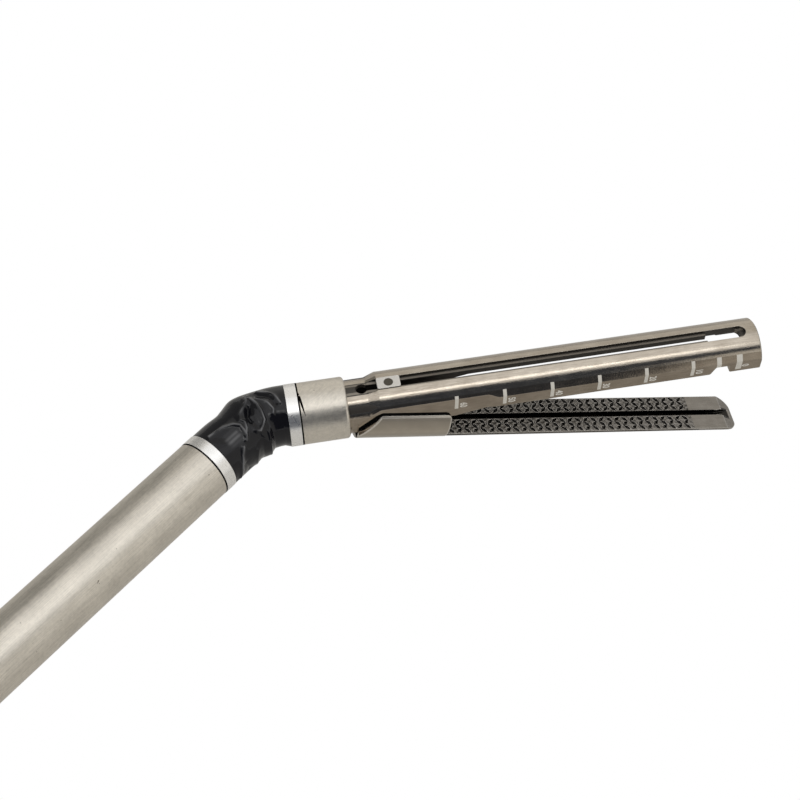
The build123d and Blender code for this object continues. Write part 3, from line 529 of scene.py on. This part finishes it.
# Painted highlight: a pale rim along the ear's top and front edges.
metal = anvil.tint(on_ear * (from_rim < EAR_RIM) * 0.7, metal, (0.7, 0.66, 0.6, 1))
shaded = (sunk * 0.75).larger(track.larger(flare))
anvil.set(Base_Color=anvil.tint(shaded, metal, (0.012, 0.011, 0.01, 1)),
          Roughness=anvil.span(patch, 0.3, 0.7, 0.13, 0.22),
          Normal=anvil.bump(facets, 0.8, 0.0006, anvil.bump(streak, 0.03, 0.0002, soft)))
finishes["anvil_steel"] = anvil
print("anvil steel", len(anvil.nodes), "nodes")

# %% [markdown]
# ## Black: gaps and film
# Gaps and seams are a dull black that reflects nothing. The film is glossy, with painted highlights along
# the
# crests of its folds and in one patch: the sleeve that is made below carries that as a value of its own at
# each point.

# %% Dark gaps
gap = Finish("dark_gap", Roughness=0.9, Specular_IOR_Level=0.0)
gap.set(Base_Color=gap.tint(gap.noise(gap.place(to_jaw), 2.0), (0.002, 0.002, 0.002, 1),
                            (0.006, 0.006, 0.006, 1)))
print("black", gap.material.name)

# %% Black film finish
black = Finish("black_film", Specular_IOR_Level=0.32)
painted_crest_light = black.node("ShaderNodeAttribute", {"attribute_name": "crease"}, {}, "Fac")
crinkle = black.noise(black.place(tube_measure), 0.9, 3.0, 0.55)
# Painted highlights: the film is paler along its fold crests and in one patch.
black.set(Base_Color=black.tint(painted_crest_light, (0.005, 0.005, 0.007, 1), (0.2, 0.2, 0.205, 1)),
          Roughness=black.span(crinkle, 0.3, 0.7, 0.07, 0.16),
          Normal=black.bump(crinkle, 0.12, 0.0003))
finishes["black_film"] = black
print("finishes", sorted(finishes))

# %% [markdown]
# ## Dressing the solids
# Each slot of a solid carries the name of a finish, and now gets it.

# %% Dress the solids
for name, solid in nodes.items():
    for slot in solid.material_slots:
        slot.material = finishes[slot.material.name.split(".")[0]].material
print("dressed", len(nodes))

# %% [markdown]
# ## The wrist's film
# A thin black sleeve covers the wrist. Bent sideways, it stretches tight round the outside and gathers
# into folds on the inside. A fine grid is rolled into a tube, bent round the wrist, and every point is
# pushed in or out by the folds that cross it, each a line drawn on the sleeve. Its long edges are then
# merged.

# %% Round the wrist
def bent_length(back, front, bend):
    """Length of a line that turns at the wrist, from a distance behind it to a distance before it."""
    return back + front - 2 * bend * tan(-JAW_TURN / 2) - bend * JAW_TURN


def bent(along, out, back, bend):
    """Places in millimetres along such a line, moved sideways by out."""
    before = back - bend * tan(-JAW_TURN / 2)
    turned = np.clip((along - before) / bend, 0, -JAW_TURN)
    onward = np.clip(along - before + bend * JAW_TURN, 0, None)
    straight = WRIST_AT - back + np.minimum(along, before)
    return (straight + (bend - out) * np.sin(turned) + onward * np.cos(turned),
            (bend - out) * np.cos(turned) - bend - onward * np.sin(turned))


def bend_with_wrist(piece):
    """Bake the piece's placement into its mesh."""
    start = Vector(((WRIST_AT - 6) * MM, 0, 0))
    to_jaw @ Vector((5 - COLLAR_FRONT, 0, 0))
    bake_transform(piece)


def thicken(piece, thick, offset=-1):
    """Give a sheet its thickness in millimetres: inwards, or to both sides where the offset is 0."""
    bpy.ops.object.modifier_add(type="SOLIDIFY")
    piece.modifiers[-1].thickness = thick * MM
    piece.modifiers[-1].offset = offset
    bpy.ops.object.modifier_apply(modifier=piece.modifiers[-1].name)


print("bent line of 20 mm", round(bent_length(10, 10, 6), 2), "mm")

# %% Folds of the film
FILM_RADIUS = 6.38
FILM_BACK = 13.1
FILM_FRONT = 6.16
FILM_BEND = 14.0
FILM_THICK = 0.12
film_length = bent_length(FILM_BACK, FILM_FRONT, FILM_BEND)
# Height, width and path of each fold: distance along the sleeve, degrees from its top towards the viewer
FOLDS = (
    (0.35, 0.35, ((1.0, -9), (2.6, -7), (4.3, -5), (6.2, 4), (7.1, 14), (6.9, 26), (6.5, 36), (5.9, 42))),
    (-0.35, 1.3, ((3.0, 14), (5.2, 22))),
    (0.4, 0.4, ((12.2, -32), (11.6, -17), (10.2, -8), (8.6, 0), (7.9, 8), (8.3, 16), (7.6, 26), (6.6, 34))),
    (-0.9, 0.55, ((11.0, -4), (9.9, 10), (9.8, 22))),
    (-0.45, 0.9, ((10.8, 8), (10.4, 32))),
    (0.45, 0.4, ((12.4, -20), (12.9, -4), (13.1, 14), (12.8, 32), (11.6, 40), (10.2, 45), (9.2, 42))),
    (0.35, 0.35, ((14.2, -34), (15.4, -23), (16.8, -8), (17.7, 9))),
    (0.3, 0.4, ((13.4, -12), (15.0, 2), (15.9, 18), (15.6, 26))),
    (-0.35, 0.6, ((14.0, -24), (15.8, -8), (16.6, 8))),
    (0.4, 0.7, ((12.4, 58), (11.8, 74), (11.6, 92), (11.8, 112))),
    (-0.2, 0.9, ((9.4, 66), (8.8, 92), (9.2, 116))),
    (0.22, 0.6, ((7.0, 74), (6.4, 88), (6.3, 104), (6.8, 126))),
    (0.35, 0.4, ((4.6, 48), (3.4, 58), (2.2, 80), (1.3, 102))),
    (-0.3, 0.7, ((3.6, 80), (4.2, 104))),
    (0.3, 0.5, ((4.0, 150), (7.0, 165), (9.6, 190))),
    (0.35, 0.5, ((12.0, 140), (10.2, 160), (10.6, 186))),
    (0.3, 0.5, ((14.6, 200), (13.0, 224), (14.0, 250))),
    (0.25, 0.5, ((5.0, 214), (7.4, 236), (7.0, 262))),
)
# Height, middle, width behind and before it, and how closely each swelling keeps to its side of the bend
SWELLS_OUTSIDE = ((0.7, 10.5, 1.5, 2.6, 1.5), (-0.3, 6.8, 1.8, 1.8, 1.5))
SWELLS_INSIDE = ((0.5, 10.6, 1.6, 1.6, 2),)
STEP_IN, STEP_AT, STEP_SHARP, STEP_POWER = 0.45, 13.6, 4, 0.7
FOLD_POWER = 1.4
HELD_BACK, HELD_FRONT = 1.0, 1.2
CREASE_WIDE = 0.16
CREASED_BELOW = 0.6
SHINE_AT, SHINE_LONG = 4.2, 1.7
SHINE_ANGLE, SHINE_SPREAD = radians(24), radians(9)
print("film length", round(film_length, 2), "mm, folds", len(FOLDS))

# %% Shape of the film
def on_sleeve(along, angle):
    """Places on the sleeve laid flat, in millimetres, cut open on the outside of the bend."""
    return np.stack((along, (np.mod(angle + pi / 2, 2 * pi) - pi / 2) * FILM_RADIUS), 1)


def from_line(place, points):
    """Distances from places on the sleeve to a fold, in millimetres."""
    best = np.full(len(place), 99.0)
    corners = [np.array((along, radians(degrees) * FILM_RADIUS)) for along, degrees in points]
    for first, second in zip(corners, corners[1:]):
        step = second - first
        share = np.clip((place - first) @ step / (step @ step), 0, 1)
        best = np.minimum(best, np.hypot(*(place - first - share[:, None] * step).T))
    return best


def film_radius(along, angle):
    """Radii of the sleeve at distances along it and angles from its top."""
    outside, inside = (np.clip(way * np.sin(angle), 0, 1) for way in (-1, 1))
    swell = np.zeros(len(along))
    for near, swells in ((outside, SWELLS_OUTSIDE), (inside, SWELLS_INSIDE)):
        for high, middle, behind, before, power in swells:
            width = np.where(along < middle, behind, before)
            swell += high * np.exp(-((along - middle) / width) ** 2) * near ** power
    swell -= STEP_IN / (1 + np.exp((STEP_AT - along) * STEP_SHARP)) * inside ** STEP_POWER
    place = on_sleeve(along, angle)
    for high, wide, points in FOLDS:
        swell += high * np.exp(-(from_line(place, points) / wide) ** FOLD_POWER)
    held = np.clip(np.minimum(along / HELD_BACK, (film_length - along) / HELD_FRONT), 0, 1)
    return FILM_RADIUS + held * swell


def crease(along, angle):
    """Painted highlight on the film, from 0 to 1: along the crests of its folds and in one patch."""
    place = on_sleeve(along, angle)
    crest = np.zeros(len(along))
    for high, wide, points in FOLDS:
        if high > 0 and wide < CREASED_BELOW:
            crest = np.maximum(crest, np.exp(-(from_line(place, points) / CREASE_WIDE) ** 2))
    patchy = 0.5 + 0.5 * np.sin(along * 1.7 + 3 * angle) * np.sin(along * 0.6 - 5 * angle)
    shine = np.exp(-((along - SHINE_AT) / SHINE_LONG) ** 6 - ((angle - SHINE_ANGLE) / SHINE_SPREAD) ** 2)
    return np.maximum(crest * patchy, shine * (0.4 + 0.2 * np.cos(angle * 40)))


print("film at its top, half way:", film_radius(np.array([film_length / 2]), np.zeros(1)).round(2), "mm")

# %% Film sleeve
RINGS = 160
ROUND = 250
bpy.ops.object.select_all(action="DESELECT")
bpy.ops.mesh.primitive_grid_add(x_subdivisions=ROUND, y_subdivisions=RINGS, size=1)
film = bpy.context.object
film.name = "wrist_sleeve"
spots = np.zeros(len(film.data.vertices) * 3)
film.data.vertices.foreach_get("co", spots)
spots = spots.reshape(-1, 3)
along = (spots[:, 1] + 0.5) * film_length
angle = spots[:, 0] * 2 * pi
radius = film_radius(along, angle)
spots[:, 0], spots[:, 1] = bent(along, radius * np.sin(angle), FILM_BACK, FILM_BEND)
spots[:, 2] = radius * np.cos(angle)
film.data.vertices.foreach_set("co", (spots * MM).ravel())
pale = film.data.attributes.new("crease", "FLOAT", "POINT")
pale.data.foreach_set("value", crease(along, angle))
bpy.ops.object.mode_set(mode="EDIT")
bpy.ops.mesh.select_all(action="SELECT")
bpy.ops.mesh.remove_doubles(threshold=0.001 * MM)
bpy.ops.mesh.normals_make_consistent(inside=False)
bpy.ops.object.mode_set(mode="OBJECT")
thicken(film, FILM_THICK)
bpy.ops.object.shade_smooth()
film.data.materials.append(black.material)
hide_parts("wrist_film")
bend_with_wrist(film)
print("film faces", len(film.data.polygons))

# %% [markdown]
# ## Seams
# A thin dark line parts each bright band from the steel beside it. A narrow black ring, a hair proud of the
# tube, fills each seam.

# %% Seam rings
SEAM_RADIUS = 6.42
SEAM_WIDTH = 0.36
SEAM_DEPTH = 0.3
BAND_WIDTH = 2.36
SEAM = 0.3


def seam_ring(name, middle, turn_z, body):
    """A narrow black ring round the tube, about a middle point and turned with the tube."""
    bpy.ops.object.select_all(action="DESELECT")
    bpy.ops.mesh.primitive_cylinder_add(vertices=96, radius=SEAM_RADIUS * MM, depth=SEAM_WIDTH * MM,
                                        end_fill_type="NOTHING")
    ring = bpy.context.object
    ring.name = name
    ring.data.transform(Matrix.Translation(middle) @ Matrix.Rotation(turn_z, 4, "Z")
                        @ Matrix.Rotation(pi / 2, 4, "Y"))
    thicken(ring, SEAM_DEPTH)
    ring.data.materials.append(gap.material)
    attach(ring, body)
    return ring


shaft_seam_at = Vector(((WRIST_AT - FILM_BACK - BAND_WIDTH - SEAM / 2) * MM, 0, 0))
collar_seam_at = to_jaw @ Vector((COLLAR_BACK - COLLAR_FRONT + SEAM / 2, 0, 0))
shaft_seam = seam_ring("shaft_seam", shaft_seam_at, 0, "shaft")
head_seam = seam_ring("collar_seam", collar_seam_at, JAW_TURN, "head")
print("seams", shaft_seam.name, head_seam.name)

# %% [markdown]
# ## The slit in the collar and painted shade along the ears
# The collar is split by a narrow slanted slit where it meets the band, and a black strip of painted shade
# lies along the top of each ear of the anvil, where its narrow gap to the channel is in shade. Both are thin
# sheets: a strip of quads laid along a few points.

# %% Thin sheets
def sheet(name, low_line, high_line, thick):
    """A thin sheet between two rows of points, given in the frame's metres."""
    count = len(low_line)
    bpy.ops.object.select_all(action="DESELECT")
    bpy.ops.mesh.primitive_grid_add(x_subdivisions=count - 1, y_subdivisions=1, size=1)
    made = bpy.context.object
    made.name = name
    for vertex in made.data.vertices:
        column = round((vertex.co.x + 0.5) * (count - 1))
        vertex.co = (low_line if vertex.co.y < 0 else high_line)[column]
    thicken(made, thick, 0)
    return made


def strip(name, low_line, high_line, thick, body):
    """A black sheet that rides a body."""
    made = sheet(name, low_line, high_line, thick)
    made.data.materials.append(gap.material)
    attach(made, body)
    return made


print("helpers", sheet.__name__, strip.__name__)

# %% Slit and painted shade strips
SLIT_RADIUS = 6.41
SLIT_THICK = 0.02
SHADE_STRIP_SIDE = 5.09
SHADE_STRIP_LOW, SHADE_STRIP_HIGH = -0.3, 0.8
SHADE_STRIP_BACK = 0.4
SHADE_STRIP_THICK = 0.04
# Rear and front station of the slit at each angle, then station and height along an ear's edge
SLIT = ((-9.8, -9.5, -4), (-9.75, -9.28, 6), (-9.6, -9.14, 14), (-9.45, -9.04, 22), (-9.24, -8.94, 30),
        (-9.0, -8.86, 37), (-8.86, -8.83, 42))
EAR_LINE = ((2.3, -2.0), (2.35, -1.2), (5.4, 2.85), (6.4, 3.62), (12.0, 3.62), (20.0, 3.62), (20.7, 3.3),
            (20.95, 2.6))


def on_collar(station, degrees):
    """A place on the collar's outside: station and angle from its top towards the viewer."""
    angle = radians(degrees)
    return to_jaw @ Vector((station, -SLIT_RADIUS * sin(angle), SLIT_RADIUS * cos(angle)))


slit = strip("collar_slit", [on_collar(low, at) for low, high, at in SLIT],
             [on_collar(high, at) for low, high, at in SLIT], SLIT_THICK, "head")
# Painted shade: a black strip along the top of each ear, where the gap to the channel lies in shade.
shade_strips = []
for way, word in ((-1, "near"), (1, "far")):
    low, high = ([to_anvil @ Vector((x - back, way * SHADE_STRIP_SIDE, z + up)) for x, z in EAR_LINE]
                 for back, up in ((0, SHADE_STRIP_LOW), (SHADE_STRIP_BACK, SHADE_STRIP_HIGH)))
    shade_strips.append(strip(f"ear_shade_strip_{word}", low, high, SHADE_STRIP_THICK, "anvil"))
print("slit and liners", slit.name, [made.name for made in shade_strips])

# %% [markdown]
# ## The firing strip
# Three spring leaves push the knife round the wrist. As one stiff solid they would stick out of the film
# when the wrist turns, so the same three leaves are laid as sheets along the line that bends round the
# wrist.

# %% Firing strip
def spring_of(leaves, node):
    """Leaves joined into one spring, in place of a solid."""
    bpy.ops.object.select_all(action="DESELECT")
    for leaf in leaves:
        leaf.select_set(True)
    bpy.context.view_layer.objects.active = leaves[0]
    bpy.ops.object.join()
    made = bpy.context.object
    made.data.materials.append(finishes["spring_steel"].material)
    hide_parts(node)
    return made


STRIP_BEND = 6.0
STRIP_HALF = 2.0
STRIP_LEAF = 0.28
STRIP_PITCH = 0.33
STRIP_COLUMNS = 120
solid = nodes["firing_strip"]
corners = [solid.matrix_world @ vertex.co for vertex in solid.data.vertices]
strip_back = WRIST_AT - min(corner.x for corner in corners) / MM
strip_front = max((to_jaw.inverted() @ corner).x for corner in corners) + COLLAR_FRONT
strip_along = np.linspace(0, bent_length(strip_back, strip_front, STRIP_BEND), STRIP_COLUMNS)
leaves = []
for leaf in (-1, 0, 1):
    line = list(zip(*bent(strip_along, leaf * STRIP_PITCH, strip_back, STRIP_BEND)))
    leaves.append(sheet("strip_leaves", [Vector((x, y, -STRIP_HALF)) * MM for x, y in line],
                        [Vector((x, y, STRIP_HALF)) * MM for x, y in line], STRIP_LEAF))
strip_leaves = spring_of(leaves, "firing_strip")
bend_with_wrist(strip_leaves)
print("strip from", round(strip_back, 2), "mm behind the wrist to", round(strip_front, 2), "mm before it")

# %% [markdown]
# ## The springs of the anvil
# Two leaf springs sit under the channel's tail and push the anvil open. Their front ends lie on the anvil,
# so each leaf is a sheet laid from the channel's tail to a tip on the anvil's face, at its present opening.

# %% Anvil springs
SPRING_SIDE = 3.55
SPRING_HALF = 0.4
SPRING_THICK = 0.25
SPRING_REAR = -5.0
SPRING_BEND_AT = 0.6
SPRING_LOW = -1.6
SPRING_TIP_AT = 6.4
SPRING_ABOVE = 0.12
spring_tip = to_jaw.inverted() @ to_anvil @ Vector((SPRING_TIP_AT, 0, ANVIL_FACE + SPRING_ABOVE))
spring_line = [(SPRING_REAR, SPRING_LOW)]
for share in np.linspace(0, 1, 12):
    spring_line.append((SPRING_BEND_AT + (spring_tip.x - SPRING_BEND_AT) * share,
                        SPRING_LOW + (spring_tip.z - SPRING_LOW) * share))
leaves = []
for way in (1, -1):
    sides = [way * SPRING_SIDE + edge for edge in (-SPRING_HALF, SPRING_HALF)]
    low, high = ([to_jaw @ Vector((x, y, z + SPRING_THICK / 2)) for x, z in spring_line] for y in sides)
    leaves.append(sheet("spring_leaves", low, high, SPRING_THICK))
spring_leaves = spring_of(leaves, "anvil_springs")
to_jaw @ Vector((0.6, 0, -1.6))
to_jaw @ spring_tip
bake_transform(spring_leaves)
print("springs reach station", round(spring_tip.x, 2))

# %% [markdown]
# ## The numbers of the scale
# Each bar has its number beside it, etched on the flat of the channel. Text is typed, made a mesh, and laid
# on the flat a hair proud of it, on both sides of the jaw.

# %% Finish of the numbers
FLAT_NEAR = 5.04
FLAT_FAR = 5.54
FLAT_STEP_AT = 28.3
FIGURE_NARROW = 0.75
FIGURE_SIZE = 2.1
FIGURE_BOLD = 0.045
FIGURE_THICK = 0.006
FIGURE_AFTER_BAR = 0.75
FIGURE_MIDDLE = 1.75
FIGURE_PROUD = 0.012
FIGURE_PALE = ((0.66, 0.63, 0.57, 1), (0.85, 0.82, 0.75, 1))
figure_finish = Finish("etched_figure", Roughness=0.55, Metallic=0.1)
grain = figure_finish.noise(figure_finish.place(to_jaw), 9.0, 2.0)
figure_finish.set(Base_Color=figure_finish.tint(grain, *FIGURE_PALE))
print("type size", FIGURE_SIZE, "mm")

# %% Numbers
def figure(words, station, middle, near_side):
    """A number etched on one flat of the channel, beside a bar, its top towards the jaw's tip."""
    bpy.ops.object.select_all(action="DESELECT")
    bpy.ops.object.text_add()
    typed = bpy.context.object
    typed.data.body = words
    typed.data.size = FIGURE_SIZE
    typed.data.offset = FIGURE_BOLD
    typed.data.extrude = FIGURE_THICK
    typed.data.resolution_u = 3
    bpy.ops.object.convert(target="MESH")
    made = bpy.context.object
    made.name = f"figure_{words}_{'near' if near_side else 'far'}"
    out = (FLAT_NEAR if station < FLAT_STEP_AT else FLAT_FAR) + FIGURE_PROUD
    way = -1 if near_side else 1
    lay = Matrix(((0, 1, 0, 0), (0, 0, way, 0), (way, 0, 0, 0), (0, 0, 0, 1)))
    reach = [vertex.co.x for vertex in made.data.vertices]
    centre = Matrix.Translation(Vector((-(min(reach) + max(reach)) / 2, 0, 0)))
    narrow = Matrix.Diagonal((FIGURE_NARROW, 1, 1, 1))
    spot = Matrix.Translation(Vector((station, way * out, middle)))
    made.data.transform(to_jaw @ spot @ lay @ narrow @ centre)
    made.data.materials.append(figure_finish.material)
    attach(made, "head")
    return made


figures = []
for step in range(SCALE_STEPS + 1):
    words = str(10 * (SCALE_STEPS - step))
    for near_side in (True, False):
        station = SCALE_FROM + step * SCALE_STEP + FIGURE_AFTER_BAR
        figures.append(figure(words, station, FIGURE_MIDDLE, near_side))
print("numbers", len(figures))

# %% [markdown]
# ## Finish
# The last cell gives the sizes of the dressed scene beside the solids' own box.

# %% Finish
bpy.context.view_layer.update()
{"cad": cad_box, "visual": [list(corner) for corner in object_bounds()]}
